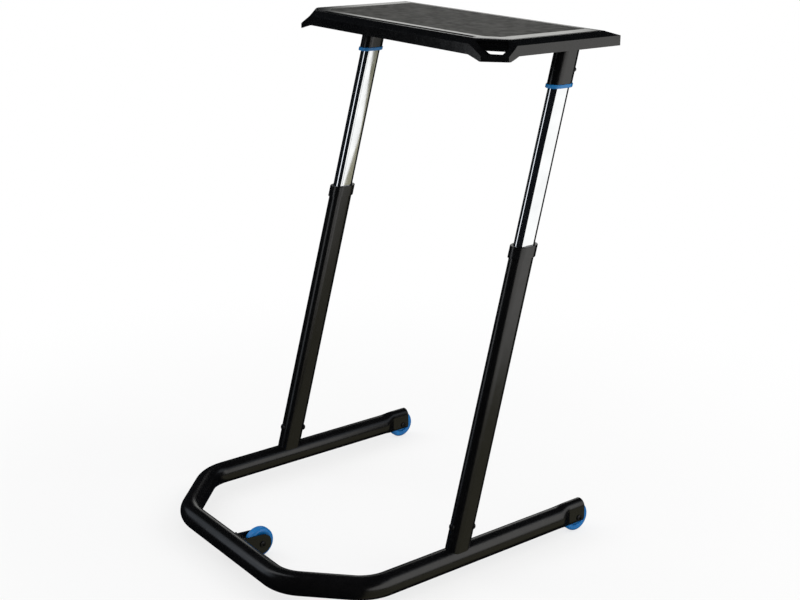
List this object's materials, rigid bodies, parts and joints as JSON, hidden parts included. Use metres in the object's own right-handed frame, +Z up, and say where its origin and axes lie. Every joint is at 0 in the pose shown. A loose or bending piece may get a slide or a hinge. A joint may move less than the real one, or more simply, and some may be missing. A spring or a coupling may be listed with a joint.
{
  "type": "bike trainer desk",
  "caption": "Height-adjustable rolling desk for an indoor bicycle trainer: U-shaped tube base on castor-size wheels, two raked telescoping legs and a cut-corner top with a mat.",
  "frame": {"origin": "on the floor, under the middle of the outline", "axes": "+X to the right of a person facing the front of the desk, +Y from the front tube towards the open end where the rider is, +Z up"},
  "size_m": [0.7568, 0.8294, 1.219],
  "materials": {
    "black_coat": "satin black powder coat on steel tube",
    "chrome": "bright chrome plate",
    "black_plastic": "moulded black plastic, satin",
    "blue_plastic": "moulded blue plastic",
    "blue_tread": "blue polyurethane tread",
    "dark_steel": "blackened steel",
    "bright_steel": "bright steel",
    "desk_laminate": "black moulded panel, satin",
    "grip_mat": "dark grey textured mat"
  },
  "bodies": {
    "base": {"base_tube": "black_coat", "front_fork": "black_coat", "front_wheel_axle_bolt": "dark_steel", "front_wheel_axle_nut": "dark_steel", "rear_wheel_left_axle_bolt": "dark_steel", "rear_wheel_left_axle_nut": "dark_steel", "rear_wheel_right_axle_bolt": "dark_steel", "rear_wheel_right_axle_nut": "dark_steel", "leg_socket_left": "black_coat", "leg_tube_left": "black_coat", "leg_collar_left": "black_plastic", "leg_bolt_left": "dark_steel", "leg_nut_left": "dark_steel", "gas_rod_left": "bright_steel", "leg_socket_right": "black_coat", "leg_tube_right": "black_coat", "leg_collar_right": "black_plastic", "leg_bolt_right": "dark_steel", "leg_nut_right": "dark_steel", "gas_rod_right": "bright_steel"},
    "rising_desk": {"inner_tube_left": "chrome", "trim_ring_left": "blue_plastic", "sleeve_left": "black_coat", "sleeve_bolt_left": "dark_steel", "gas_cylinder_left": "dark_steel", "lever_pin_left": "bright_steel", "mount_plate_left": "black_coat", "inner_tube_right": "chrome", "trim_ring_right": "blue_plastic", "sleeve_right": "black_coat", "sleeve_bolt_right": "dark_steel", "gas_cylinder_right": "dark_steel", "lever_pin_right": "bright_steel", "mount_plate_right": "black_coat", "cross_rail": "black_coat", "desk_board": "desk_laminate", "desk_mat": "grip_mat", "edge_skirt": "black_plastic", "corner_grip_right": "black_plastic", "corner_grip_left": "black_plastic"},
    "front_wheel": {"front_wheel_tyre": "blue_tread", "front_wheel_hub": "blue_plastic", "front_wheel_bearing_a": "bright_steel", "front_wheel_bearing_b": "bright_steel"},
    "rear_wheel_left": {"rear_wheel_left_tyre": "blue_tread", "rear_wheel_left_hub": "blue_plastic", "rear_wheel_left_bearing_a": "bright_steel", "rear_wheel_left_bearing_b": "bright_steel"},
    "rear_wheel_right": {"rear_wheel_right_tyre": "blue_tread", "rear_wheel_right_hub": "blue_plastic", "rear_wheel_right_bearing_a": "bright_steel", "rear_wheel_right_bearing_b": "bright_steel"},
    "lever_left": {"release_lever_left": "black_plastic"},
    "button_left": {"valve_button_left": "bright_steel"},
    "lever_right": {"release_lever_right": "black_plastic"},
    "button_right": {"valve_button_right": "bright_steel"}
  },
  "joints": [
    {"name": "height_slide", "type": "slide", "parent": "base", "child": "rising_desk", "axis": [0, 0.2472, 0.969], "range_m": [-0.3555, 0]},
    {"name": "front_wheel_spin", "type": "hinge", "parent": "base", "child": "front_wheel", "pos_m": [0, -0.31761, 0.03577], "axis": [1, 0, 0], "continuous": true},
    {"name": "rear_wheel_left_spin", "type": "hinge", "parent": "base", "child": "rear_wheel_left", "pos_m": [-0.3472, 0.36779, 0.03577], "axis": [1, 0, 0], "continuous": true},
    {"name": "rear_wheel_right_spin", "type": "hinge", "parent": "base", "child": "rear_wheel_right", "pos_m": [0.3472, 0.36779, 0.03577], "axis": [1, 0, 0], "continuous": true},
    {"name": "lever_hinge_left", "type": "hinge", "parent": "rising_desk", "child": "lever_left", "pos_m": [-0.3472, 0.23758, 1.19679], "axis": [-1, 0, 0], "range_deg": [0, 4.5], "stiffness_Nm_per_rad": 2, "springref_deg": -2.86},
    {"name": "button_slide_left", "type": "slide", "parent": "rising_desk", "child": "button_left", "axis": [0, -0.2472, -0.969], "range_m": [0, 0.0037]},
    {"name": "lever_hinge_right", "type": "hinge", "parent": "rising_desk", "child": "lever_right", "pos_m": [0.3472, 0.23758, 1.19679], "axis": [-1, 0, 0], "range_deg": [0, 4.5], "stiffness_Nm_per_rad": 2, "springref_deg": -2.86},
    {"name": "button_slide_right", "type": "slide", "parent": "rising_desk", "child": "button_right", "axis": [0, -0.2472, -0.969], "range_m": [0, 0.0037]}
  ],
  "couplings": [
    {"joint": "button_slide_left", "follows": "lever_hinge_left", "m_per_rad": 0.04213},
    {"joint": "button_slide_right", "follows": "lever_hinge_right", "m_per_rad": 0.04213}
  ]
}
